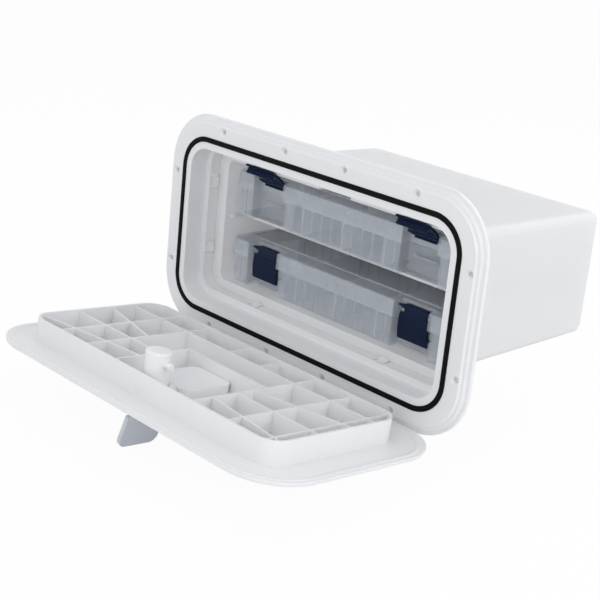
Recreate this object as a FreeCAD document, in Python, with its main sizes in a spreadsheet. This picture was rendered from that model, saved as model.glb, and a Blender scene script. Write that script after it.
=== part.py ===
import FreeCAD, Part
import Sketcher
import math
import os
from types import SimpleNamespace

# Built-in tackle box: a flanged frame with a seal, a rear casing that holds two
# lidded trays, and a drop-down door with a lift-and-turn latch.
# X is to the right, Y goes into the box and Z is up. Y = 0 is the back face of the
# flange, which lies on the wall it is fixed to. X = 0, Z = 0 is the seal's centre.

SIZES = {
    # flange and tunnel of the frame
    "flangeHalfX": 195.7, "flangeHalfZ": 107.2, "flangeCorner": 53.0,
    "stepOneIn": 4.0, "stepTwoIn": 7.5,
    "edgeFace": 3.2, "stepFace": 5.8, "flangeFace": 8.0,
    "sealHalfX": 171.5, "sealHalfZ": 83.9, "sealCorner": 30.0,
    "sealWide": 5.0, "sealDeep": 3.0, "sealProud": 1.0,
    "mouthHalfX": 162.4, "mouthHalfZ": 74.8, "mouthCorner": 20.9,
    "ledgeFace": 11.7, "tunnelWall": 2.6,
    "tunnelHalfX": 155.9, "tunnelLow": 68.3, "tunnelHigh": 71.0, "tunnelCorner": 15.0,
    "tunnelEnd": 30.0, "stopFace": 27.4, "stopIn": 5.6,
    "screwX": 183.5, "screwZ": 95.5, "screwHole": 2.2, "screwSink": 4.0,
    "screwTopFar": 120.0, "screwTopNear": 37.0, "screwSide": 45.0,
    "strikeHalf": 11.0, "strikeLow": 69.6, "strikeBack": 15.7,
    "slotHalf": 13.0, "slotBack": 22.9,
    "tongueHalf": 5.7, "tongueHigh": 37.5, "tongueLow": -29.2, "tongueSide": 83.0,
    "slitWide": 1.0, "slitFront": 12.6, "barbFront": 15.0, "barbBack": 22.9, "barbRise": 1.6,
    # hinge
    "hingeY": 11.3, "hingeZ": 104.1, "hingeX": 86.0, "lugHalf": 9.0, "lugRadius": 2.9,
    "pinRadius": 1.2, "pinHalf": 16.0, "runGap": 0.05,
    # rear casing
    "ringFace": 23.6, "ringThick": 3.5, "seatGap": 0.3,
    "casingFrontX": 145.2, "casingBackX": 143.3, "casingLow": 61.6,
    "casingFrontHigh": 64.2, "casingBackHigh": 57.8, "casingBack": 235.0,
    "casingWall": 2.4, "casingCorner": 8.0,
    "domeHalf": 22.4, "domeHigh": 70.4, "domeBack": 33.4,
    "railIn": 5.0, "railTop": 5.9, "railThick": 2.6, "railFront": 30.0, "railBack": 226.0,
    "shelfHalfX": 140.4, "shelfThick": 2.4, "shelfFront": 40.0,
    # door
    "doorInner": 9.3, "doorThick": 4.5, "doorHalfX": 190.0, "doorLow": 106.3, "doorTop": 100.0,
    "doorCorner": 50.0, "doorRound": 3.4,
    "rimHalfX": 160.3, "rimHalfZ": 73.2, "rimCorner": 18.8, "rimWall": 2.5, "rimHigh": 20.5,
    "ribThick": 1.8, "ribHigh": 18.5, "ribEnd": -46.0,
    "openAngle": 85.0,
    # latch
    "postZ": 54.9, "wellDeep": 10.7, "wellFloor": 2.2, "wellHalf": 22.2, "wellLow": -10.0,
    "wellRound": 17.0, "wellWideTop": 39.0,
    "headRadius": 15.0, "shaftRadius": 6.0, "drumRadius": 11.6, "drumHigh": 38.0,
    "drumRound": 2.0, "pegHigh": 28.4, "pegRadius": 3.0, "pegReach": 18.1,
    "flapThick": 4.0, "flapLong": 50.0, "flapHalf": 20.5, "flapNeckHalf": 8.0,
    "flapNeck": 14.5, "flapPin": 1.2, "earHalf": 12.0, "earGap": 8.3, "earRadius": 2.6,
    "turnAngle": 90.0, "liftAngle": 73.4,
    # trays
    "trayX": 0.6, "trayFront": 30.0, "trayLong": 279.4, "trayDeep": 184.0,
    "trayHigh": 44.4, "trayCorner": 9.0, "trayWall": 1.6, "trayInset": 2.5,
    "lidSkirt": 16.0, "lidGap": 0.3, "dividerThick": 1.4,
    "upperZ": 8.6, "lowerZ": -58.9,
    "latchLeft": -93.0, "latchRight": 98.0, "latchY": 38.0, "latchUp": 39.0,
    "latchHalf": 17.2, "latchNeckHalf": 12.5, "latchLong": 29.5, "latchBead": 2.0,
    "latchPin": 1.1, "hookIn": 4.5, "latchOpen": 125.0,
    "baseNicheHalf": 22.4, "baseNicheBack": 45.2, "lidNicheHalf": 20.2, "lidNicheBack": 43.0,
    "lidPivotBack": 3.4, "lidPivotUp": 25.5,
}

doc = FreeCAD.newDocument("tackle_box")
sheet = doc.addObject("Spreadsheet::Sheet", "dims")
for row, (alias, number) in enumerate(SIZES.items(), 1):
    sheet.set("A%d" % row, alias)
    sheet.set("B%d" % row, str(number))
    sheet.setAlias("B%d" % row, alias)
doc.recompute()


class Dim:
    """A length with its value and the sheet expression that gives it."""

    def __init__(self, text, value):
        self.text = text
        self.value = value

    def join(self, sign, other, value, swap=False):
        far = other.text if isinstance(other, Dim) else "%.4f" % other
        one, two = (far, self.text) if swap else (self.text, far)
        return Dim("(%s %s %s)" % (one, sign, two), value)

    def __add__(self, other):
        return self.join("+", other, self.value + num(other))

    def __radd__(self, other):
        return self.join("+", other, num(other) + self.value, True)

    def __sub__(self, other):
        return self.join("-", other, self.value - num(other))

    def __rsub__(self, other):
        return self.join("-", other, num(other) - self.value, True)

    def __mul__(self, other):
        return self.join("*", other, self.value * num(other))

    def __rmul__(self, other):
        return self.join("*", other, num(other) * self.value, True)

    def __truediv__(self, other):
        return self.join("/", other, self.value / num(other))

    def __neg__(self):
        return self.join("*", -1.0, -self.value)


def num(size):
    return size.value if isinstance(size, Dim) else float(size)


P = SimpleNamespace(**{alias: Dim("dims." + alias, number) for alias, number in SIZES.items()})
PLANES = {"XY": ("XY_Plane", 1), "XZ": ("XZ_Plane", -1), "YZ": ("YZ_Plane", 1)}


def bind(thing, prop, size):
    if isinstance(size, Dim):
        thing.setExpression(prop, size.text)
    else:
        setattr(thing, prop, size)


def newBody(label):
    body = doc.addObject("PartDesign::Body", label)
    body.Label = label
    return body


def newSketch(body, plane, level):
    """A sketch square to the named plane, at a level along the world axis."""
    role, sign = PLANES[plane]
    sketch = body.newObject("Sketcher::SketchObject", "profile")
    origin = [f for f in body.Origin.OriginFeatures if f.Role == role][0]
    sketch.AttachmentSupport = [(origin, "")]
    sketch.MapMode = "FlatFace"
    offset = level * sign
    sketch.AttachmentOffset = FreeCAD.Placement(FreeCAD.Vector(0, 0, num(offset)), FreeCAD.Rotation())
    if isinstance(offset, Dim):
        sketch.setExpression("AttachmentOffset.Base.z", offset.text)
    return sketch


def constrain(sketch, kind, parts, size):
    index = sketch.addConstraint(Sketcher.Constraint(kind, *parts, num(size)))
    if isinstance(size, Dim):
        sketch.setExpression("Constraints[%d]" % index, size.text)


def roundedBox(body, plane, level, left, right, low, high, corner, into=None):
    """A rounded rectangle drawn in the plane's two axes."""
    sketch = into or newSketch(body, plane, level)
    n = sketch.GeometryCount
    xa, xb, za, zb, r = [num(v) for v in (left, right, low, high, corner)]
    vec = lambda u, v: FreeCAD.Vector(u, v, 0)
    ends = [
        (vec(xa + r, za), vec(xb - r, za)), (vec(xb, za + r), vec(xb, zb - r)),
        (vec(xb - r, zb), vec(xa + r, zb)), (vec(xa, zb - r), vec(xa, za + r)),
    ]
    centres = [vec(xb - r, za + r), vec(xb - r, zb - r), vec(xa + r, zb - r), vec(xa + r, za + r)]
    for k in range(4):
        sketch.addGeometry(Part.LineSegment(*ends[k]))
        circle = Part.Circle(centres[k], FreeCAD.Vector(0, 0, 1), r)
        start = -math.pi / 2 + k * math.pi / 2
        sketch.addGeometry(Part.ArcOfCircle(circle, start, start + math.pi / 2))
    for k in range(4):
        line, arc, after = n + 2 * k, n + 2 * k + 1, n + (2 * k + 2) % 8
        sketch.addConstraint(Sketcher.Constraint("Tangent", line, 2, arc, 1))
        sketch.addConstraint(Sketcher.Constraint("Tangent", arc, 2, after, 1))
        sketch.addConstraint(Sketcher.Constraint(("Horizontal", "Vertical")[k % 2], line))
        if k:
            sketch.addConstraint(Sketcher.Constraint("Equal", n + 1, arc))
    constrain(sketch, "Radius", (n + 1,), corner)
    constrain(sketch, "DistanceX", (-1, 1, n + 6, 1), left)
    constrain(sketch, "DistanceX", (-1, 1, n + 2, 1), right)
    constrain(sketch, "DistanceY", (-1, 1, n, 1), low)
    constrain(sketch, "DistanceY", (-1, 1, n + 4, 1), high)
    return sketch


def polygon(body, plane, level, points, into=None):
    sketch = into or newSketch(body, plane, level)
    n, count = sketch.GeometryCount, len(points)
    for k in range(count):
        a, b = points[k], points[(k + 1) % count]
        start = FreeCAD.Vector(num(a[0]), num(a[1]), 0)
        end = FreeCAD.Vector(num(b[0]), num(b[1]), 0)
        sketch.addGeometry(Part.LineSegment(start, end))
    for k in range(count):
        sketch.addConstraint(Sketcher.Constraint("Coincident", n + k, 2, n + (k + 1) % count, 1))
        constrain(sketch, "DistanceX", (-1, 1, n + k, 1), points[k][0])
        constrain(sketch, "DistanceY", (-1, 1, n + k, 1), points[k][1])
    return sketch


def disc(body, plane, level, across, up, radius, into=None):
    sketch = into or newSketch(body, plane, level)
    n = sketch.GeometryCount
    centre = FreeCAD.Vector(num(across), num(up), 0)
    sketch.addGeometry(Part.Circle(centre, FreeCAD.Vector(0, 0, 1), num(radius)))
    constrain(sketch, "Radius", (n,), radius)
    constrain(sketch, "DistanceX", (-1, 1, n, 3), across)
    constrain(sketch, "DistanceY", (-1, 1, n, 3), up)
    return sketch


def several(draw):
    """The same kind of profile drawn more than once in one sketch."""

    def drawAll(body, plane, level, *shapes):
        sketch = None
        for shape in shapes:
            sketch = draw(body, plane, level, *shape, into=sketch)
        return sketch

    return drawAll


def add(body, draw, plane, start, end, *shape):
    """Adds the drawn profile between two levels along the plane's axis."""
    level = end if plane == "XZ" else start
    sketch = draw(body, plane, level, *shape)
    pad = body.newObject("PartDesign::Pad", "add")
    pad.Profile = sketch
    bind(pad, "Length", end - start)
    pad.Refine = False
    doc.recompute([sketch, pad, body])
    return pad


def cut(body, draw, plane, start, end, *shape):
    """Takes the drawn profile away between two levels along the plane's axis."""
    before = body.Shape.Volume
    level = start if plane == "XZ" else end
    sketch = draw(body, plane, level, *shape)
    pocket = body.newObject("PartDesign::Pocket", "cut")
    pocket.Profile = sketch
    bind(pocket, "Length", end - start)
    pocket.Refine = False
    doc.recompute([sketch, pocket, body])
    if not body.Shape.Volume < before - 0.01:
        raise RuntimeError("a cut in %s takes nothing away" % body.Label)
    return pocket


def loft(body, kind, first, *others):
    feature = body.newObject("PartDesign::" + kind, "loft")
    feature.Profile = first
    feature.Sections = list(others)
    feature.Ruled = True
    feature.Refine = False
    doc.recompute([first, *others, feature, body])
    return feature


def roundOff(body, radius, chosen, kind="Fillet"):
    """Rounds the edges of the body for which chosen(edge) is true."""
    tip = body.Tip
    names = ["Edge%d" % (k + 1) for k, e in enumerate(tip.Shape.Edges) if chosen(e)]
    feature = body.newObject("PartDesign::" + kind, "round")
    feature.Base = (tip, names)
    bind(feature, "Radius" if kind == "Fillet" else "Size", radius)
    feature.Refine = False
    doc.recompute([feature, body])
    if "Invalid" in feature.State or "Error" in feature.State or not feature.Shape.isValid():
        raise RuntimeError("rounding failed in %s" % body.Label)
    return feature


def onLevel(axis, level):
    """Chooses edges that lie wholly at a level along an axis."""
    low, high = axis + "Min", axis + "Max"

    def chosen(edge):
        box = edge.BoundBox
        near = abs(getattr(box, low) - level) < 0.02
        return near and abs(getattr(box, high) - level) < 0.02

    return chosen


def cylinder(label, radius, length, base, axis):
    """A plain round pin from base along axis."""
    pin = doc.addObject("Part::Cylinder", label)
    bind(pin, "Radius", radius)
    bind(pin, "Height", length)
    turn = FreeCAD.Rotation(FreeCAD.Vector(0, 0, 1), FreeCAD.Vector(*axis))
    pin.Placement = FreeCAD.Placement(FreeCAD.Vector(*[num(v) for v in base]), turn)
    return pin


def group(label, members):
    compound = doc.addObject("Part::Compound", label)
    compound.Label = label
    compound.Links = members
    return compound


# The flange is a slab with two low steps along its edge, and the tunnel behind its
# mouth narrows at a ledge. A stop at the tunnel's end takes the casing's ring.
frame = newBody("flange_frame")
for inset, face in ((0, P.edgeFace), (P.stepOneIn, P.stepFace), (P.stepTwoIn, P.flangeFace)):
    wide, tall, corner = P.flangeHalfX - inset, P.flangeHalfZ - inset, P.flangeCorner - inset
    add(frame, roundedBox, "XZ", -face, 0.0, -wide, wide, -tall, tall, corner)
for face in (SIZES["edgeFace"], SIZES["stepFace"], SIZES["flangeFace"]):
    roundOff(frame, 1.2, onLevel("Y", -face))
shellX, shellZ = P.mouthHalfX + P.tunnelWall, P.mouthHalfZ + P.tunnelWall
add(frame, roundedBox, "XZ", -P.edgeFace, P.ledgeFace + P.tunnelWall,
    -shellX, shellX, -shellZ, shellZ, P.mouthCorner + P.tunnelWall)
add(frame, roundedBox, "XZ", P.ledgeFace, P.tunnelEnd,
    -P.tunnelHalfX - P.tunnelWall, P.tunnelHalfX + P.tunnelWall,
    -P.tunnelLow - P.tunnelWall, P.tunnelHigh + P.tunnelWall, P.tunnelCorner + P.tunnelWall)
cut(frame, roundedBox, "XZ", -P.flangeFace - 1, P.ledgeFace,
    -P.mouthHalfX, P.mouthHalfX, -P.mouthHalfZ, P.mouthHalfZ, P.mouthCorner)
cut(frame, roundedBox, "XZ", P.ledgeFace - 1, P.stopFace,
    -P.tunnelHalfX, P.tunnelHalfX, -P.tunnelLow, P.tunnelHigh, P.tunnelCorner)
stopX = P.tunnelHalfX - P.stopIn
cut(frame, roundedBox, "XZ", P.stopFace - 1, P.tunnelEnd + 1,
    -stopX, stopX, P.stopIn - P.tunnelLow, P.tunnelHigh - P.stopIn / 2, P.tunnelCorner - P.stopIn)

# seal groove round the mouth
halfSeal = P.sealWide / 2
cut(frame, roundedBox, "XZ", -P.flangeFace - 1, P.sealDeep - P.flangeFace,
    -P.sealHalfX - halfSeal, P.sealHalfX + halfSeal,
    -P.sealHalfZ - halfSeal, P.sealHalfZ + halfSeal, P.sealCorner + halfSeal)
lipX, lipZ = P.sealHalfX - halfSeal, P.sealHalfZ - halfSeal
add(frame, roundedBox, "XZ", -P.flangeFace, P.sealDeep - P.flangeFace,
    -lipX, lipX, -lipZ, lipZ, P.sealCorner - halfSeal)
cut(frame, roundedBox, "XZ", -P.flangeFace - 1, P.ledgeFace,
    -P.mouthHalfX, P.mouthHalfX, -P.mouthHalfZ, P.mouthHalfZ, P.mouthCorner)

# twelve countersunk screw holes along the flange's border
spots = [(side * x, end * P.screwZ) for end in (-1, 1) for side in (-1, 1)
         for x in (P.screwTopFar, P.screwTopNear)]
spots += [(side * P.screwX, z) for side in (-1, 1) for z in (P.screwSide, -P.screwSide)]
cut(frame, several(disc), "XZ", -P.flangeFace - 1, 1.0,
    *[(x, z, P.screwHole) for x, z in spots])
faceLevel, holeSpan = -SIZES["flangeFace"], 2 * SIZES["screwHole"]
roundOff(frame, P.screwSink - P.screwHole, lambda e: onLevel("Y", faceLevel)(e)
         and abs(e.BoundBox.XLength - holeSpan) < 0.05, "Chamfer")

# strike lip and slot for the latch's peg, and the gap for the casing's dome
add(frame, roundedBox, "XZ", P.ledgeFace, P.strikeBack,
    -P.strikeHalf, P.strikeHalf, P.strikeLow, P.tunnelHigh + 1, 0.5)
cut(frame, roundedBox, "XZ", P.strikeBack, P.slotBack,
    -P.slotHalf, P.slotHalf, P.tunnelHigh - 2, P.tunnelHigh + P.tunnelWall + 4, 0.6)
cut(frame, roundedBox, "XZ", P.stopFace - 0.1, P.tunnelEnd + 1,
    -P.domeHalf - 0.6, P.domeHalf + 0.6, P.tunnelHigh - P.stopIn - 2, P.tunnelHigh, 0.6)

# snap tongues: two slits leave a tongue in the wall, with a barb in front of the ring
slit, half = P.slitWide / 2, P.tongueHalf - P.slitWide
outX = P.tunnelHalfX + P.tunnelWall + 1
edges = [z + end * P.tongueHalf for z in (P.tongueHigh, P.tongueLow) for end in (-1, 1)]
cut(frame, several(roundedBox), "YZ", -outX, outX,
    *[(P.slitFront, P.ringFace, z - slit, z + slit, 0.4) for z in edges])
edges = [side * P.tongueSide + end * P.tongueHalf for side in (-1, 1) for end in (-1, 1)]
cut(frame, several(roundedBox), "XY", -P.tunnelLow - P.tunnelWall - 1, 1 - P.tunnelLow,
    *[(x - slit, x + slit, P.slitFront, P.ringFace, 0.4) for x in edges])
for z in (P.tongueHigh, P.tongueLow):
    barbs = []
    for side in (-1, 1):
        face, tip = side * (P.tunnelHalfX + 0.5), side * (P.tunnelHalfX - P.barbRise)
        barbs.append(([(face, P.barbFront), (tip, P.barbBack - 1.5),
                       (tip, P.barbBack), (face, P.barbBack)],))
    add(frame, several(polygon), "XY", z - half, z + half, *barbs)
for side in (-1, 1):
    x, face, tip = side * P.tongueSide, -P.tunnelLow - 0.5, P.barbRise - P.tunnelLow
    add(frame, polygon, "YZ", x - half, x + half,
        [(P.barbFront, face), (P.barbBack - 1.5, tip), (P.barbBack, tip), (P.barbBack, face)])

# hinge lugs stand out in front of the flange's lower edge
for side in (-1, 1):
    x = side * P.hingeX
    add(frame, roundedBox, "YZ", x - P.lugHalf, x + P.lugHalf, -P.hingeY - P.lugRadius,
        P.lugRadius - P.edgeFace, -P.hingeZ - P.lugRadius, -P.hingeZ + P.lugRadius,
        P.lugRadius - 0.05)
cut(frame, disc, "YZ", -P.hingeX - P.lugHalf - 1, P.hingeX + P.lugHalf + 1,
    -P.hingeY, -P.hingeZ, P.pinRadius + 0.01)

# seal: a flat ring with rounded outer edges, standing a little proud of the flange
seal = newBody("seal_ring")
back = P.sealDeep - P.flangeFace
add(seal, roundedBox, "XZ", -P.flangeFace - P.sealProud, back,
    -P.sealHalfX - halfSeal, P.sealHalfX + halfSeal,
    -P.sealHalfZ - halfSeal, P.sealHalfZ + halfSeal, P.sealCorner + halfSeal)
cut(seal, roundedBox, "XZ", -P.flangeFace - P.sealProud - 1, back + 1,
    -lipX, lipX, -lipZ, lipZ, P.sealCorner - halfSeal)
roundOff(seal, 0.8, onLevel("Y", -SIZES["flangeFace"] - SIZES["sealProud"]))

# rear casing: a drafted box with a ring round its mouth
casing = newBody("rear_casing")


def casingOutline(inward, behind):
    """The casing's outline a distance in front of its back, set inward."""
    level = P.casingBack - behind if behind is not None else P.ringFace
    share = 0.0 if behind is None else 1.0
    wide = P.casingFrontX + (P.casingBackX - P.casingFrontX) * share - inward
    high = P.casingFrontHigh + (P.casingBackHigh - P.casingFrontHigh) * share - inward
    return roundedBox(casing, "XZ", level, -wide, wide, inward - P.casingLow, high,
                      P.casingCorner - inward * 0.5)


wall = P.casingWall
loft(casing, "AdditiveLoft", casingOutline(0.0, None), casingOutline(0.0, 8.0),
     casingOutline(2.3, 2.3), casingOutline(8.0, 0.0))
ringX = P.tunnelHalfX - P.seatGap
add(casing, roundedBox, "XZ", P.ringFace, P.ringFace + P.ringThick, -ringX, ringX,
    P.seatGap - P.tunnelLow, P.tunnelHigh - P.seatGap, P.tunnelCorner - P.seatGap)
add(casing, roundedBox, "XZ", P.ringFace, P.domeBack, -P.domeHalf, P.domeHalf,
    P.casingBackHigh, P.domeHigh, 4.0)
loft(casing, "SubtractiveLoft", casingOutline(wall, None), casingOutline(wall, 9.0),
     casingOutline(wall + 2.0, wall + 2.0), casingOutline(wall + 7.0, wall))
cut(casing, roundedBox, "XZ", P.ringFace - 1, P.domeBack - wall, wall - P.domeHalf,
    P.domeHalf - wall, P.casingBackHigh - 4, P.domeHigh - wall, 2.0)
for side in (-1, 1):
    ends = sorted([side * (P.casingFrontX - P.casingWall - P.railIn), side * (P.casingBackX - 1)],
                  key=num)
    add(casing, roundedBox, "XZ", P.railFront, P.railBack, ends[0], ends[1],
        P.railTop - P.railThick, P.railTop, 0.4)

shelf = newBody("tray_shelf")
add(shelf, roundedBox, "XY", P.railTop, P.railTop + P.shelfThick,
    -P.shelfHalfX, P.shelfHalfX, P.shelfFront, P.railBack, 4.0)

pins = group("hinge_pins", [
    cylinder("hinge_pin_%s" % name, P.pinRadius, P.pinHalf * 2,
             (side * P.hingeX - P.pinHalf, -P.hingeY, -P.hingeZ), (1, 0, 0))
    for side, name in ((-1, "left"), (1, "right"))])

# door, drawn shut: a plate, a rim that enters the mouth, ribs, and a well for the flap
door = newBody("door_panel")
inner, outer = -P.doorInner, -P.doorInner - P.doorThick
add(door, roundedBox, "XZ", outer, inner, -P.doorHalfX, P.doorHalfX,
    -P.doorLow, P.doorTop, P.doorCorner)
roundOff(door, P.doorRound, onLevel("Y", -SIZES["doorInner"] - SIZES["doorThick"]))
rimTop = P.rimHigh - P.doorInner
add(door, roundedBox, "XZ", inner - 1, rimTop, -P.rimHalfX, P.rimHalfX,
    -P.rimHalfZ, P.rimHalfZ, P.rimCorner)
insideX, insideZ = P.rimHalfX - P.rimWall, P.rimHalfZ - P.rimWall
cut(door, roundedBox, "XZ", inner, rimTop + 1, -insideX, insideX, -insideZ, insideZ,
    P.rimCorner - P.rimWall)
ribTop = P.ribHigh - P.doorInner


def rib(x1, z1, x2, z2):
    """A straight rib between two points of the door."""
    run, rise = num(x2) - num(x1), num(z2) - num(z1)
    size = math.hypot(run, rise)
    px, pz = -rise / size / 2, run / size / 2
    add(door, polygon, "XZ", inner - 0.5, ribTop,
        [(x1 + P.ribThick * px, z1 + P.ribThick * pz), (x2 + P.ribThick * px, z2 + P.ribThick * pz),
         (x2 - P.ribThick * px, z2 - P.ribThick * pz), (x1 - P.ribThick * px, z1 - P.ribThick * pz)])


wallX, wallZ = insideX + 0.5, insideZ + 0.5
for x in (-119.0, -80.5, 62.0, 105.0, 146.5):
    rib(x, -wallZ, x, wallZ)
for side, near in ((-1, 80.5), (1, 62.0)):
    rib(side * near, 46.4, side * wallX, 60.0)
    rib(side * near, 19.4, side * wallX, 19.4)
    rib(side * near, 0.6, side * wallX, -19.0)
rib(-wallX, P.ribEnd, wallX, P.ribEnd)
for x in (-22.0, 18.0):
    rib(x, -wallZ, x, P.ribEnd)
rib(-39.7, -13.6, -39.7, wallZ)
rib(-80.5, 46.4, -39.7, 41.5)
rib(-80.5, 19.4, -39.7, 19.4)
rib(-39.7, -13.6, 62.0, -13.6)
wellBack = P.wellDeep - P.doorInner - P.doorThick
add(door, roundedBox, "XZ", inner - 1, wellBack + P.wellFloor,
    -P.wellHalf - P.wellFloor, P.wellHalf + P.wellFloor, P.wellLow - P.wellFloor, P.wellWideTop + 2, 9.5)
add(door, disc, "XZ", inner - 1, wellBack + P.wellFloor, 0, P.postZ, P.wellRound + 1.6)
cut(door, roundedBox, "XZ", outer - 1, wellBack, -P.wellHalf, P.wellHalf,
    P.wellLow, P.wellWideTop, 6.0)
cut(door, disc, "XZ", outer - 1, wellBack, 0, P.postZ, P.wellRound)
cut(door, disc, "XZ", wellBack - 1, wellBack + P.wellFloor + 1, 0, P.postZ, P.shaftRadius + P.runGap)
for side in (-1, 1):
    x = side * P.hingeX
    cut(door, roundedBox, "XZ", outer - 1, inner + 1, x - P.lugHalf - 0.6, x + P.lugHalf + 0.6,
        -P.doorLow - 3, P.lugRadius + 0.8 - P.hingeZ, 0.5)
    cut(door, disc, "YZ", x - P.pinHalf - 0.4, x + P.pinHalf + 0.4, -P.hingeY, -P.hingeZ,
        P.pinRadius + P.runGap)

# latch, drawn locked: the peg points up and the flap lies down in the well
rotor = newBody("latch_rotor")
headBack, headFront = wellBack - P.seatGap, wellBack - 5.6
drumFoot = wellBack + P.wellFloor + P.seatGap
shaftEnd = P.pegHigh + P.pegRadius + 2 - P.doorInner
add(rotor, disc, "XZ", headFront, headBack, 0, P.postZ, P.headRadius)
add(rotor, disc, "XZ", headBack - 1, shaftEnd, 0, P.postZ, P.shaftRadius)
pinY = P.flapThick / 2 - P.doorInner - P.doorThick
for side in (-1, 1):
    ends = sorted([side * P.earGap, side * P.earHalf], key=num)
    add(rotor, roundedBox, "YZ", ends[0], ends[1], pinY, headFront + 1,
        P.postZ - P.earRadius, P.postZ + P.earRadius, 0.2)
    add(rotor, disc, "YZ", ends[0], ends[1], pinY, P.postZ, P.earRadius - 0.6)
cut(rotor, disc, "YZ", -P.earHalf - 1, P.earHalf + 1, pinY, P.postZ, P.flapPin + 0.02)
pegY = P.pegHigh - P.doorInner
cut(rotor, disc, "XY", P.postZ - 4, P.postZ + P.shaftRadius + 1, 0, pegY, P.pegRadius + 0.02)

drum = newBody("latch_drum")
drumEnd = P.drumHigh - P.doorInner
add(drum, disc, "XZ", drumFoot, drumEnd, 0, P.postZ, P.drumRadius)
roundOff(drum, P.drumRound, onLevel("Y", SIZES["drumHigh"] - SIZES["doorInner"]))
cut(drum, disc, "XZ", drumFoot - 1, shaftEnd, 0, P.postZ, P.shaftRadius + 0.02)
cut(drum, disc, "XY", P.postZ + 1, P.postZ + P.drumRadius + 1, 0, pegY, P.pegRadius + 0.02)

peg = newBody("latch_peg")
add(peg, disc, "XY", P.postZ - 4, P.postZ + P.pegReach, 0, pegY, P.pegRadius)
roundOff(peg, 0.8, onLevel("Z", SIZES["postZ"] + SIZES["pegReach"]))

# flap: a knuckle between the rotor's ears, a narrow neck and a wide plate
flap = newBody("pull_flap")
knuckle = P.earGap - P.seatGap
root, flapEnd = P.postZ - P.flapNeck, P.postZ - P.flapLong
flapOuter, flapInner = outer, outer + P.flapThick
add(flap, disc, "YZ", -knuckle, knuckle, pinY, P.postZ, P.flapThick / 2)
add(flap, polygon, "XZ", flapOuter, flapInner,
    [(-P.flapNeckHalf, P.postZ), (-P.flapNeckHalf, root), (-P.flapHalf, root - 4),
     (-P.flapHalf, flapEnd), (P.flapHalf, flapEnd), (P.flapHalf, root - 4),
     (P.flapNeckHalf, root), (P.flapNeckHalf, P.postZ)])
lowEnd = SIZES["postZ"] - SIZES["flapLong"]
roundOff(flap, 8.0, lambda e: e.BoundBox.XLength < 0.01 and e.BoundBox.ZLength < 0.01
         and abs(e.BoundBox.ZMin - lowEnd) < 0.1)
roundOff(flap, 0.8, lambda e: e.BoundBox.YLength < 0.01 and e.BoundBox.ZMax < lowEnd + 32
         and e.BoundBox.YMax < -SIZES["doorInner"] - SIZES["doorThick"] + 0.1)
cut(flap, disc, "YZ", -knuckle - 1, knuckle + 1, pinY, P.postZ, P.flapPin + P.runGap)

flapPin = cylinder("flap_pin", P.flapPin, P.earHalf * 2, (-P.earHalf, pinY, P.postZ), (1, 0, 0))
flapPin.Label = "flap_pin"


def about(point, axis, degrees):
    """A turn about an axis through a point."""
    centre = FreeCAD.Vector(*[num(v) for v in point])
    turn = FreeCAD.Rotation(FreeCAD.Vector(*axis), num(degrees))
    return FreeCAD.Placement(FreeCAD.Vector(0, 0, 0), turn, centre)


opened = about((0, -P.hingeY, -P.hingeZ), (1, 0, 0), P.openAngle)
turned = opened.multiply(about((0, 0, P.postZ), (0, 1, 0), P.turnAngle))
lifted = turned.multiply(about((0, pinY, P.postZ), (1, 0, 0), -P.liftAngle))
door.Placement = opened
for piece in (rotor, drum, peg):
    piece.Placement = turned
flap.Placement = lifted
flapPin.Placement = turned.multiply(flapPin.Placement)

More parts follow.
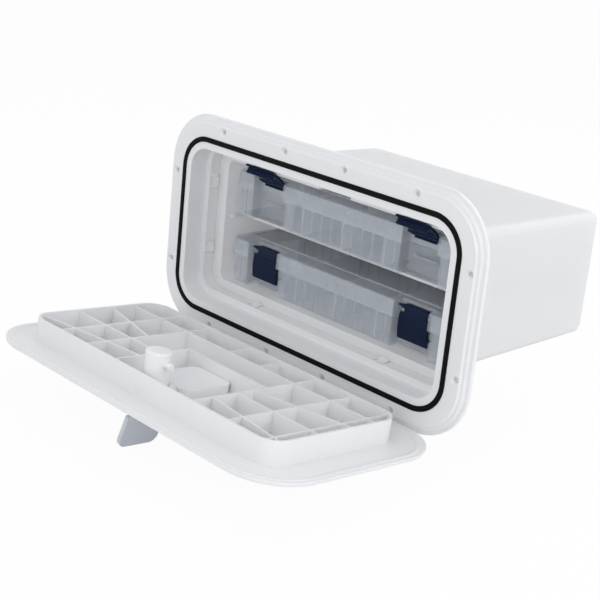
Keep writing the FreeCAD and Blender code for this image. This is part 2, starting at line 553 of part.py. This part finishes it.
# trays: an open base with a hinged lid over it, dividers, and two front latches
halfX = P.trayLong / 2
left, right = P.trayX - halfX, P.trayX + halfX
front, rear = P.trayFront, P.trayFront + P.trayDeep
inset, skin = P.trayInset, P.trayWall
pivotY = rear + P.lidPivotBack
pieces = [frame, seal, casing, shelf, pins, door, rotor, drum, peg, flap, flapPin]
for name, floor, openNow in (("upper", P.upperZ, P.latchOpen), ("lower", P.lowerZ, 0)):
    rimZ, roof = floor + P.trayHigh - skin - P.lidGap, floor + P.trayHigh
    pivotZ = floor + P.lidPivotUp
    base = newBody(name + "_tray_base")
    add(base, roundedBox, "XY", floor, rimZ, left + inset, right - inset,
        front + inset, rear - inset, P.trayCorner - inset)
    roundOff(base, 3.2, onLevel("Z", num(floor)))
    cut(base, roundedBox, "XY", floor + skin, rimZ + 1, left + inset + skin, right - inset - skin,
        front + inset + skin, rear - inset - skin, P.trayCorner - inset - skin)
    middle = front + P.trayDeep / 2
    add(base, roundedBox, "XY", floor + skin - 0.5, rimZ - 2, left + inset + 0.5, right - inset - 0.5,
        middle - skin / 2, middle + skin / 2, 0.3)
    axisZ = floor + P.latchUp
    for spot in (P.latchLeft, P.latchRight):
        x = P.trayX + spot
        half, deep = P.baseNicheHalf, P.baseNicheBack
        add(base, roundedBox, "XY", floor, rimZ, x - half - skin, x + half + skin,
            front + inset, deep + skin, 1.5)
        cut(base, roundedBox, "XY", floor - 1, rimZ + 1, x - half, x + half, front - 1, deep, 1.2)
        add(base, roundedBox, "YZ", x - 14, x + 14, deep - 4.2, deep + 0.3,
            axisZ - 22.4, axisZ - 19.9, 0.5)

    # lid hinge: the base carries one barrel and the lid the next, on a short wire
    lid = newBody(name + "_tray_lid")
    add(lid, roundedBox, "XY", roof - P.lidSkirt, roof, left, right, front, rear, P.trayCorner)
    roundOff(lid, 2.2, onLevel("Z", num(roof)))
    cut(lid, roundedBox, "XY", roof - P.lidSkirt - 1, roof - skin, left + skin, right - skin,
        front + skin, rear - skin, P.trayCorner - skin)
    for spot in (P.latchLeft, P.latchRight):
        x = P.trayX + spot
        half, deep = P.lidNicheHalf, P.lidNicheBack
        add(lid, roundedBox, "XY", roof - P.lidSkirt, roof - skin / 2, x - half - skin, x + half + skin,
            front + skin / 2, deep + skin, 1.5)
        cut(lid, roundedBox, "XY", roof - P.lidSkirt - 1, roof + 1, x - half, x + half,
            front - 1, deep, 1.2)
        cut(lid, disc, "YZ", x - half - skin - 0.1, x + half + skin + 0.1, P.latchY, axisZ,
            P.latchPin + P.runGap)
    wires = []
    for side, hand in ((-1, "left"), (1, "right")):
        for body, near in ((base, 60.0), (lid, 70.4)):
            span = sorted([P.trayX + side * near, P.trayX + side * (near + 10)], key=num)
            deep = rear - inset if body is base else rear
            top = pivotZ if body is base else pivotZ + 6
            add(body, disc, "YZ", span[0], span[1], pivotY, pivotZ, 2.2)
            add(body, roundedBox, "YZ", span[0], span[1], deep - 0.5, pivotY,
                pivotZ - (2.2 if body is base else -0.4), top, 0.1)
            cut(body, disc, "YZ", span[0] - 1, span[1] + 1, pivotY, pivotZ, 1.02)
        start = P.trayX + (60.0 if side > 0 else -80.4)
        wires.append(cylinder("%s_wire_%s" % (name, hand), 1.0, 20.4,
                              (start, pivotY, pivotZ), (1, 0, 0)))
    wire = group(name + "_lid_pins", wires)

    # dividers stand on the floor of each row
    gates = []
    for row, (near, far) in enumerate(((front + inset + skin, middle - skin / 2),
                                       (middle + skin / 2, rear - inset - skin))):
        for column, x in enumerate((-48.0, 4.0, 56.0)):
            gate = doc.addObject("Part::Box", "%s_gate_%d_%d" % (name, row, column))
            bind(gate, "Length", P.dividerThick)
            bind(gate, "Width", far - near - 0.4)
            bind(gate, "Height", P.trayHigh - 10)
            gate.Placement.Base = FreeCAD.Vector(x, num(near) + 0.2, num(floor + skin))
            gates.append(gate)
    dividers = group(name + "_tray_dividers", gates)

    # latch, drawn shut in the niche: bead, neck, curved plate, and a hook behind it
    latches = []
    for spot, hand in ((P.latchLeft, "left"), (P.latchRight, "right")):
        x = P.trayX + spot
        latch = newBody("%s_latch_%s" % (name, hand))
        bead, wide, neck = P.latchHalf - 1.2, P.latchHalf, P.latchNeckHalf
        y, foot = P.latchY, axisZ - P.latchLong
        add(latch, disc, "YZ", x - bead, x + bead, y, axisZ, P.latchBead)
        add(latch, roundedBox, "YZ", x - neck, x + neck, y - 1.8, y + 0.2, axisZ - 9, axisZ + 2.8, 0.4)
        add(latch, roundedBox, "YZ", x - neck, x + neck, y - 1.8, y + 3.4, axisZ + 1.2, axisZ + 2.8, 0.4)
        add(latch, polygon, "YZ", x - wide, x + wide,
            [(y - 1.8, axisZ - 5.5), (y - 2.9, axisZ - 12), (y - 3.1, axisZ - 18), (y - 2.7, foot + 5),
             (y - 1.9, foot), (y - 0.3, foot), (y - 0.8, foot + 5), (y + P.hookIn, foot + 5.4),
             (y + P.hookIn, foot + 6.6), (y - 0.9, foot + 6.8), (y - 1.3, axisZ - 18),
             (y - 1.1, axisZ - 12), (y + 0.2, axisZ - 5.5)])
        for side in (-1, 1):
            tip = sorted([x + side * (bead - 0.5), x + side * (P.lidNicheHalf + 1.1)], key=num)
            add(latch, disc, "YZ", tip[0], tip[1], y, axisZ, P.latchPin)
        latch.Placement = about((x, P.latchY, axisZ), (1, 0, 0), -1 * num(openNow))
        latches.append(latch)
    pieces += [base, lid, dividers, wire] + latches

doc.recompute()
for thing in doc.Objects:
    if "Invalid" in thing.State or "Error" in thing.State:
        raise RuntimeError("%s did not rebuild" % thing.Label)
os.makedirs("parts", exist_ok=True)
for piece in pieces:
    shape = piece.Shape
    if shape.isNull() or not shape.isValid() or not shape.Solids:
        raise RuntimeError("%s has no sound shape" % piece.Label)
    shape.exportStep("parts/%s.step" % piece.Label)
    print(piece.Label, len(shape.Solids), round(shape.Volume / 1000, 2), "cm3")
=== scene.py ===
import math
import bmesh
import bpy
from mathutils import Euler, Matrix, Vector


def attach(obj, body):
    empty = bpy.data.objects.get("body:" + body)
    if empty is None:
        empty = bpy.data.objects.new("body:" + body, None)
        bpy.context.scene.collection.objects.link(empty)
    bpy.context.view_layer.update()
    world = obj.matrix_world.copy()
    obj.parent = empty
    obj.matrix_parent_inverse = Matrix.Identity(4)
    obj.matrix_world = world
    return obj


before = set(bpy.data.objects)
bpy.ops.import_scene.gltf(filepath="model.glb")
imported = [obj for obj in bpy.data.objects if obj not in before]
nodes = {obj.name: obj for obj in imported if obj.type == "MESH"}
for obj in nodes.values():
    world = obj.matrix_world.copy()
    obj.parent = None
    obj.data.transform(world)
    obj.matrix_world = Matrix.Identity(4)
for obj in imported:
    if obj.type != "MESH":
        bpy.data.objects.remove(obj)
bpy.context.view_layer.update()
print("frame loaded:", len(nodes), "nodes")


class Wire:
    # a shader socket that takes part in sums and products
    def __init__(self, tree, socket=None):
        self.tree = tree
        self.socket = socket

    def node(self, kind, settings=None, inputs=None, output=0):
        # settings first, then a value or a link for each socket that is named
        made = self.tree.nodes.new("ShaderNode" + kind)
        for name, value in (settings or {}).items():
            setattr(made, name, value)
        for name, value in (inputs or {}).items():
            if isinstance(value, Wire):
                self.tree.links.new(value.socket, made.inputs[name])
            else:
                made.inputs[name].default_value = value
        return Wire(self.tree, made.outputs[output] if made.outputs else None)

    def combine(self, operation, first, second):
        return self.node("Math", {"operation": operation}, {0: first, 1: second})

    def __add__(self, other):
        return self.combine("ADD", self, other)

    def __radd__(self, other):
        return self.combine("ADD", other, self)

    def __sub__(self, other):
        return self.combine("SUBTRACT", self, other)

    def __rsub__(self, other):
        return self.combine("SUBTRACT", other, self)

    def __mul__(self, other):
        return self.combine("MULTIPLY", self, other)

    def __rmul__(self, other):
        return self.combine("MULTIPLY", other, self)


def newMaterial(name):
    material = bpy.data.materials.new(name)
    material.use_nodes = True
    material.node_tree.nodes.clear()
    return material, Wire(material.node_tree)


def blendTones(wire, factor, look):
    # sockets 6 and 7 are the Mix node's two colours, and output 2 is the mixed colour
    return wire.node("Mix", {"data_type": "RGBA"}, {
        "Factor": factor, 6: (*look["colour"], 1), 7: (*look["shade"], 1)}, 2)


noise = {  # what all moulded plastics share; each finish sets its own scales and depths
    "driftDetail": 2.0, "rubbedDetail": 5.0, "grainDetail": 3.0,
    "rubbedFiner": 8,  # how much finer the rubbing is than the drift
    "driftShare": 0.7, "rubbedShare": 0.3,  # of the change in tone
    "rubbedMiddle": 0.5,
}


def moulded(name, look):
    # moulded plastic: a slow drift of tone, faint rubbing and a fine grain
    material, wire = newMaterial(name)
    place = wire.node("TexCoord", output="Object")
    drift = wire.node("TexNoise", {}, {
        "Vector": place, "Scale": look["drift"], "Detail": noise["driftDetail"]})
    rubbed = wire.node("TexNoise", {}, {
        "Vector": place, "Scale": look["drift"] * noise["rubbedFiner"], "Detail": noise["rubbedDetail"]})
    grain = wire.node("TexNoise", {}, {
        "Vector": place, "Scale": look["grain"], "Detail": noise["grainDetail"]})
    tone = blendTones(wire, drift * noise["driftShare"] + rubbed * noise["rubbedShare"], look)
    rough = look["roughness"] + (rubbed - noise["rubbedMiddle"]) * look["roughSpread"]
    bump = wire.node("Bump", {}, {
        "Strength": look["grainStrength"], "Distance": look["grainDepth"], "Height": grain})
    surface = wire.node("BsdfPrincipled", {}, {
        "Base Color": tone, "Roughness": rough, "Normal": bump, **look["shader"]})
    if "through" in look:  # the share of the light that a thin wall lets through
        thin = wire.node("BsdfTranslucent", {}, {"Color": (*look["colour"], 1)})
        surface = wire.node("MixShader", {}, {0: look["through"], 1: surface, 2: thin})
    wire.node("OutputMaterial", {}, {"Surface": surface})
    material.diffuse_color = (*look["colour"], 1)
    return material


def drawnSteel(name, look):
    # drawn wire: fine streaks that run along the pin, which lies across the box
    material, wire = newMaterial(name)
    place = wire.node("TexCoord", output="Object")
    stretched = wire.node("Mapping", {}, {"Vector": place, "Scale": look["stretch"]})
    streak = wire.node("TexNoise", {}, {
        "Vector": stretched, "Scale": 1.0, "Detail": look["streakDetail"]})
    bump = wire.node("Bump", {}, {
        "Strength": look["streakStrength"], "Distance": look["streakDepth"], "Height": streak})
    surface = wire.node("BsdfPrincipled", {}, {
        "Base Color": blendTones(wire, streak, look), "Metallic": 1.0,
        "Roughness": look["roughness"] + streak * look["roughSpread"], "Normal": bump})
    wire.node("OutputMaterial", {}, {"Surface": surface})
    return material


finishes = {  # drift and grain are noise scales, grainDepth is in metres
    "flangeWhite": {
        "colour": (0.84, 0.84, 0.845), "shade": (0.80, 0.803, 0.81),
        "roughness": 0.33, "roughSpread": 0.12, "drift": 7.0,
        "grain": 900.0, "grainStrength": 0.25, "grainDepth": 0.00005,
        "shader": {"Specular IOR Level": 0.45}},
    "doorWhite": {
        "colour": (0.93, 0.93, 0.935), "shade": (0.89, 0.893, 0.90), "through": 0.14,
        "roughness": 0.36, "roughSpread": 0.14, "drift": 9.0,
        "grain": 800.0, "grainStrength": 0.3, "grainDepth": 0.00006,
        "shader": {"Specular IOR Level": 0.45}},
    "casingWhite": {
        "colour": (0.96, 0.96, 0.965), "shade": (0.93, 0.933, 0.94), "through": 0.32,
        "roughness": 0.48, "roughSpread": 0.12, "drift": 6.0,
        "grain": 600.0, "grainStrength": 0.4, "grainDepth": 0.00008,
        "shader": {}},
    "shelfWhite": {
        "colour": (0.86, 0.86, 0.87), "shade": (0.81, 0.815, 0.83), "through": 0.2,
        "roughness": 0.42, "roughSpread": 0.1, "drift": 6.0,
        "grain": 600.0, "grainStrength": 0.3, "grainDepth": 0.00006,
        "shader": {}},
    "sealRubber": {
        "colour": (0.003, 0.003, 0.0035), "shade": (0.006, 0.006, 0.0065),
        "roughness": 0.7, "roughSpread": 0.2, "drift": 30.0,
        "grain": 1500.0, "grainStrength": 0.5, "grainDepth": 0.00006,
        "shader": {"Specular IOR Level": 0.08}},
    "latchWhite": {
        "colour": (0.86, 0.86, 0.865), "shade": (0.81, 0.813, 0.82),
        "roughness": 0.34, "roughSpread": 0.12, "drift": 20.0,
        "grain": 1100.0, "grainStrength": 0.25, "grainDepth": 0.00005,
        "shader": {}},
    # painted shade: the flap is white plastic like the latch, but this colour is darkened and blued to
    # stand in for the shadow the door plate casts on it
    "flapWhiteWithPaintedShade": {
        "colour": (0.63, 0.66, 0.73), "shade": (0.57, 0.60, 0.67),
        "roughness": 0.4, "roughSpread": 0.12, "drift": 20.0,
        "grain": 1100.0, "grainStrength": 0.25, "grainDepth": 0.00005,
        "shader": {}},
    "trayLatchNavy": {
        "colour": (0.003, 0.011, 0.038), "shade": (0.005, 0.015, 0.048),
        "roughness": 0.42, "roughSpread": 0.15, "drift": 40.0,
        "grain": 1400.0, "grainStrength": 0.3, "grainDepth": 0.00005,
        "shader": {"Specular IOR Level": 0.15}},
    "trayClear": {
        "colour": (0.80, 0.845, 0.91), "shade": (0.73, 0.78, 0.86),
        "roughness": 0.26, "roughSpread": 0.16, "drift": 10.0,
        "grain": 500.0, "grainStrength": 0.3, "grainDepth": 0.00008,
        "shader": {"Alpha": 0.24, "IOR": 1.49}},
    "lidClear": {
        "colour": (0.82, 0.865, 0.92), "shade": (0.75, 0.80, 0.87),
        "roughness": 0.22, "roughSpread": 0.14, "drift": 12.0,
        "grain": 500.0, "grainStrength": 0.3, "grainDepth": 0.00008,
        "shader": {"Alpha": 0.27, "IOR": 1.49}},
    "dividerClear": {
        "colour": (0.84, 0.87, 0.91), "shade": (0.78, 0.81, 0.86),
        "roughness": 0.3, "roughSpread": 0.16, "drift": 10.0,
        "grain": 500.0, "grainStrength": 0.3, "grainDepth": 0.00008,
        "shader": {"Alpha": 0.5, "IOR": 1.49}},
}
pinSteel = {
    "colour": (0.56, 0.56, 0.57), "shade": (0.40, 0.40, 0.42),
    "roughness": 0.22, "roughSpread": 0.2, "stretch": (30.0, 2500.0, 2500.0),
    "streakDetail": 4.0, "streakStrength": 0.3, "streakDepth": 0.00003,
}
materials = {name: moulded(name, look) for name, look in finishes.items()}
materials["pinSteel"] = drawnSteel("pinSteel", pinSteel)
worn = {  # the nodes that wear each finish
    "flangeWhite": ["flange_frame"],
    "doorWhite": ["door_panel"],
    "casingWhite": ["rear_casing"],
    "shelfWhite": ["tray_shelf"],
    "sealRubber": ["seal_ring"],
    "latchWhite": ["latch_rotor", "latch_drum", "latch_peg"],
    "flapWhiteWithPaintedShade": ["pull_flap"],
    "trayLatchNavy": ["upper_latch_left", "upper_latch_right", "lower_latch_left", "lower_latch_right"],
    "trayClear": ["upper_tray_base", "lower_tray_base"],
    "lidClear": ["upper_tray_lid", "lower_tray_lid"],
    "dividerClear": ["upper_tray_dividers", "lower_tray_dividers"],
    "pinSteel": ["hinge_pins", "flap_pin", "upper_lid_pins", "lower_lid_pins"],
}
for finish, members in worn.items():
    for member in members:
        nodes[member].data.materials.clear()
        nodes[member].data.materials.append(materials[finish])
print("finishes set:", len(materials))


def extrude(build, outline, start, end, turn):
    # an outline across the local X axis, drawn out along it and then moved by turn
    ends = [[build.verts.new(turn @ Vector((along, u, v))) for u, v in outline] for along in (start, end)]
    build.faces.new(ends[0])
    build.faces.new(ends[1][::-1])
    count = len(outline)
    for k in range(count):
        after = (k + 1) % count
        build.faces.new((ends[0][k], ends[0][after], ends[1][after], ends[1][k]))


def ring(build, loops):
    # closed loops of points, each joined to the next one and the last to the first
    rows = [[build.verts.new(point) for point in loop] for loop in loops]
    count = len(rows[0])
    for k, row in enumerate(rows):
        other = rows[(k + 1) % len(rows)]
        for j in range(count):
            after = (j + 1) % count
            build.faces.new((row[j], row[after], other[after], other[j]))


def roundedOutline(left, right, low, high, corner, steps):
    # a rectangle whose corners are rounded in the given number of steps
    points = []
    for k, (u, v) in enumerate(((right - corner, low + corner), (right - corner, high - corner),
                                (left + corner, high - corner), (left + corner, low + corner))):
        for step in range(steps + 1):
            angle = math.radians(-90 + 90 * k + 90 * step / steps)
            points.append((u + corner * math.cos(angle), v + corner * math.sin(angle)))
    return points


bead = {"spread": 200, "steps": 6}  # an arc a little past a half circle, so its ends sink in


def halfRound(u, v, radius, lean):
    # an arc that stands out of a surface in the direction lean, in degrees
    points = []
    for step in range(bead["steps"] + 1):
        angle = math.radians(lean - bead["spread"] / 2 + bead["spread"] * step / bead["steps"])
        points.append((u + radius * math.cos(angle), v + radius * math.sin(angle)))
    return points


sharpAngle = math.radians(40)  # an edge that bends more than this stays crisp


def addPiece(name, build, finish, body):
    # the built mesh as an object that rides on one body of the part
    bmesh.ops.recalc_face_normals(build, faces=build.faces)
    mesh = bpy.data.meshes.new(name)
    build.to_mesh(mesh)
    build.free()
    mesh.materials.append(materials[finish])
    mesh.shade_smooth()
    mesh.set_sharp_from_angle(angle=sharpAngle)
    piece = bpy.data.objects.new(name, mesh)
    bpy.context.scene.collection.objects.link(piece)
    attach(piece, body)


tray = {  # where the two trays lie in the box, as in the CAD
    "middle": 0.0006, "halfLong": 0.1397, "front": 0.030, "deep": 0.184, "high": 0.0444,
    "skin": 0.0016, "inset": 0.0025,
    "floors": {"upper": 0.0086, "lower": -0.0589},
    "latches": {"left": -0.093, "right": 0.098}, "latchY": 0.038, "latchUp": 0.039,
    "open": {"upper": 125.0, "lower": 0.0},  # degrees that each row's latches stand open
}
trayRear = tray["front"] + tray["deep"]

grip = {  # the ridges across a tray latch's face
    "halfWide": 0.0166, "radius": 0.00062, "first": 0.0070, "last": 0.0282, "count": 13,
    # the face, as distances below the latch's pin and in front of it
    "face": [(0.0055, 0.0018), (0.012, 0.0029), (0.018, 0.0031), (0.0245, 0.0027), (0.0295, 0.0019)],
    "lean": 180,
}


def gripFace(down):
    # how far the latch's face stands in front of its pin
    for (a, out), (b, further) in zip(grip["face"], grip["face"][1:]):
        if down <= b:
            return out + (further - out) * (down - a) / (b - a)
    return grip["face"][-1][1]


for row, floorLevel in tray["floors"].items():
    for hand, spot in tray["latches"].items():
        build = bmesh.new()
        hub = Vector((tray["middle"] + spot, tray["latchY"], floorLevel + tray["latchUp"]))
        swing = Matrix.Translation(hub) @ Matrix.Rotation(math.radians(-tray["open"][row]), 4, "X")
        for k in range(grip["count"]):
            down = grip["first"] + (grip["last"] - grip["first"]) * k / (grip["count"] - 1)
            outline = halfRound(-gripFace(down), -down, grip["radius"], grip["lean"])
            extrude(build, outline, -grip["halfWide"], grip["halfWide"], swing)
        addPiece("%s_%s_latch_grip" % (row, hand), build, "trayLatchNavy", "%s_%s_latch" % (row, hand))
print("tray latch grips made")

guides = {  # upright ribs inside the trays, which hold the dividers
    "pitch": 0.0129, "radius": 0.0007, "firstColumn": 0.0095, "foot": 0.0016, "head": 0.0060,
    "nicheClear": 0.0255,  # no rib on the front wall this near the middle of a latch
    "backwards": 90, "forwards": -90,
}
upright = Matrix(((0, 1, 0, 0), (0, 0, 1, 0), (1, 0, 0, 0), (0, 0, 0, 1)))  # local X goes up
left = tray["middle"] - tray["halfLong"] + tray["inset"] + tray["skin"]
right = tray["middle"] + tray["halfLong"] - tray["inset"] - tray["skin"]
for row, floorLevel in tray["floors"].items():
    build = bmesh.new()
    low, high = floorLevel + guides["foot"], floorLevel + tray["high"] - guides["head"]
    middleWall = tray["front"] + tray["deep"] / 2
    faces = [(tray["front"] + tray["inset"] + tray["skin"], guides["backwards"]),
             (middleWall - tray["skin"] / 2, guides["forwards"]),
             (middleWall + tray["skin"] / 2, guides["backwards"]),
             (trayRear - tray["inset"] - tray["skin"], guides["forwards"])]
    count = int((right - left - guides["firstColumn"]) / guides["pitch"]) + 1
    for k in range(count):
        x = left + guides["firstColumn"] + guides["pitch"] * k
        nearNiche = any(abs(x - tray["middle"] - spot) < guides["nicheClear"]
                        for spot in tray["latches"].values())
        for y, lean in faces:
            if y < tray["latchY"] and nearNiche:
                continue
            extrude(build, halfRound(x, y, guides["radius"], lean), low, high, upright)
    addPiece(row + "_tray_guides", build, "trayClear", row + "_tray")
print("tray guides made")

border = {  # the raised border on each lid
    "in": 0.007, "front": 0.019, "wide": 0.0022, "high": 0.0009, "corner": 0.006, "cornerSteps": 8,
    "slope": 0.0003, "sunk": 0.0004,
}
for row, floorLevel in tray["floors"].items():
    build = bmesh.new()
    roof = floorLevel + tray["high"]
    profile = [(0.0, -border["sunk"]), (border["slope"], border["high"]),
               (border["wide"] - border["slope"], border["high"]), (border["wide"], -border["sunk"])]
    loops = []
    for shift, lift in profile:
        outline = roundedOutline(
            tray["middle"] - tray["halfLong"] + border["in"] + shift,
            tray["middle"] + tray["halfLong"] - border["in"] - shift,
            tray["front"] + border["front"] + shift, trayRear - border["in"] - shift,
            border["corner"] - shift, border["cornerSteps"])
        loops.append([Vector((x, y, roof + lift)) for x, y in outline])
    ring(build, loops)
    addPiece(row + "_lid_border", build, "lidClear", row + "_tray")
print("lid borders made")

# what is on the door is drawn with the door shut, then turned about the hinge
hinge = {"line": Vector((0, -0.0113, -0.1041)), "open": 85}
doorOpen = Matrix.Translation(hinge["line"]) @ Matrix.Rotation(math.radians(hinge["open"]), 4, "X") \
    @ Matrix.Translation(-hinge["line"])

collar = {  # the low ring round the foot of the latch's drum
    "centre": 0.0549, "face": -0.0009, "edges": 60,
    "profile": [(0.0123, -0.0004), (0.0123, 0.0010), (0.0129, 0.0015), (0.0150, 0.0015),
                (0.0166, 0.0011), (0.0179, 0.0004), (0.0183, -0.0004)],
}
build = bmesh.new()
around = [math.radians(360 / collar["edges"] * k) for k in range(collar["edges"])]
ring(build, [[doorOpen @ Vector((radius * math.cos(a), collar["face"] + lift,
                                 collar["centre"] + radius * math.sin(a))) for a in around]
             for radius, lift in collar["profile"]])
addPiece("latch_collar", build, "doorWhite", "door")
print("latch collar made")

lip = {  # the door plate's raised edge
    "halfX": 0.187, "low": -0.0998, "high": 0.0970, "corner": 0.047, "cornerSteps": 16, "face": -0.0093,
    "profile": [(0.0, -0.0004), (0.0003, 0.0005), (0.0012, 0.0008), (0.0026, 0.0007),
                (0.0044, 0.0002), (0.0052, -0.0004)],
}
build = bmesh.new()
loops = []
for shift, lift in lip["profile"]:
    outline = roundedOutline(-lip["halfX"] + shift, lip["halfX"] - shift, lip["low"] + shift,
                             lip["high"] - shift, lip["corner"] - shift, lip["cornerSteps"])
    loops.append([doorOpen @ Vector((x, lip["face"] + lift, z)) for x, z in outline])
ring(build, loops)
addPiece("door_lip", build, "doorWhite", "door")
print("door lip made")


def inSight(wire):
    # 1 on rays from the camera, off a glossy surface or through a thin wall, else 0
    return wire.node("LightPath", output="Is Camera Ray") + wire.node("LightPath", output="Is Glossy Ray") \
        + wire.node("LightPath", output="Is Transmission Ray")


studio = {
    "floorLevel": -0.1415, "floorHalf": 6.0, "floorWhite": (0.92, 0.92, 0.92),
    "floorGlow": 0.95,  # how much of the floor in sight is plain white
    "white": (1, 1, 1), "skyTint": (0.95, 0.97, 1.0), "skyLight": 0.68,
    "lamps": {
        "topLamp": {"place": (-0.2, -0.35, 1.8), "target": (0.0, -0.05, 0.0), "size": 1.6, "power": 5.0},
        "frontLamp": {"place": (-1.5, -1.3, 0.7), "target": (0.0, 0.0, 0.0), "size": 1.2, "power": 1.5},
        "rightLamp": {"place": (1.8, 0.25, 0.6), "target": (0.1, 0.1, 0.0), "size": 1.0, "power": 8.5},
        "backLamp": {"place": (0.2, 1.3, 0.9), "target": (0.0, 0.15, 0.0), "size": 1.0, "power": 4.0},
        "mouthLamp": {"place": (0.45, -1.1, 0.35), "target": (0.0, 0.1, 0.0), "size": 0.6, "power": 2.2},
    },
}
floorMesh = bpy.data.meshes.new("floor")
half, level = studio["floorHalf"], studio["floorLevel"]
floorCorners = [(-half, -half, level), (half, -half, level), (half, half, level), (-half, half, level)]
floorMesh.from_pydata(floorCorners, [], [(0, 1, 2, 3)])
floor = bpy.data.objects.new("floor", floorMesh)
bpy.context.scene.collection.objects.link(floor)
floorPaint, wire = newMaterial("floorPaint")
matt = wire.node("BsdfDiffuse", {}, {"Color": (*studio["floorWhite"], 1)})
glow = wire.node("Emission", {}, {"Color": (*studio["white"], 1), "Strength": 1.0})
cover = wire.node("MixShader", {}, {0: inSight(wire) * studio["floorGlow"], 1: matt, 2: glow})
wire.node("OutputMaterial", {}, {"Surface": cover})
floorMesh.materials.append(floorPaint)

world = bpy.data.worlds.new("studio")
bpy.context.scene.world = world
world.use_nodes = True
world.node_tree.nodes.clear()
sky = Wire(world.node_tree)
soft = sky.node("Background", {}, {"Color": (*studio["skyTint"], 1), "Strength": studio["skyLight"]})
white = sky.node("Background", {}, {"Color": (*studio["white"], 1), "Strength": 1.0})
backdrop = sky.node("MixShader", {}, {0: inSight(sky), 1: soft, 2: white})
sky.node("OutputWorld", {}, {"Surface": backdrop})

for name, lamp in studio["lamps"].items():
    light = bpy.data.lights.new(name, "AREA")
    light.size = lamp["size"]
    light.energy = lamp["power"]
    holder = bpy.data.objects.new(name, light)
    holder.location = lamp["place"]
    aim = Vector(lamp["target"]) - Vector(lamp["place"])
    holder.rotation_euler = aim.to_track_quat("-Z", "Y").to_euler()
    bpy.context.scene.collection.objects.link(holder)
print("studio ready")

view = {  # the photograph's camera: metres, degrees and millimetres
    "place": (0.78897, -0.82150, 0.34704), "turn": (73.274, -5.216, 46.848),
    "lens": 79.62, "sensor": 36.0, "shiftX": 0.0368, "shiftY": -0.0766, "near": 0.01,
}
lens = bpy.data.cameras.new("view")
lens.sensor_width = view["sensor"]
lens.lens = view["lens"]
lens.shift_x = view["shiftX"]
lens.shift_y = view["shiftY"]
lens.clip_start = view["near"]
camera = bpy.data.objects.new("view", lens)
camera.location = view["place"]
camera.rotation_euler = Euler([math.radians(angle) for angle in view["turn"]])
bpy.context.scene.collection.objects.link(camera)
bpy.context.scene.camera = camera
bpy.context.scene.view_settings.view_transform = "Standard"
print("camera set")
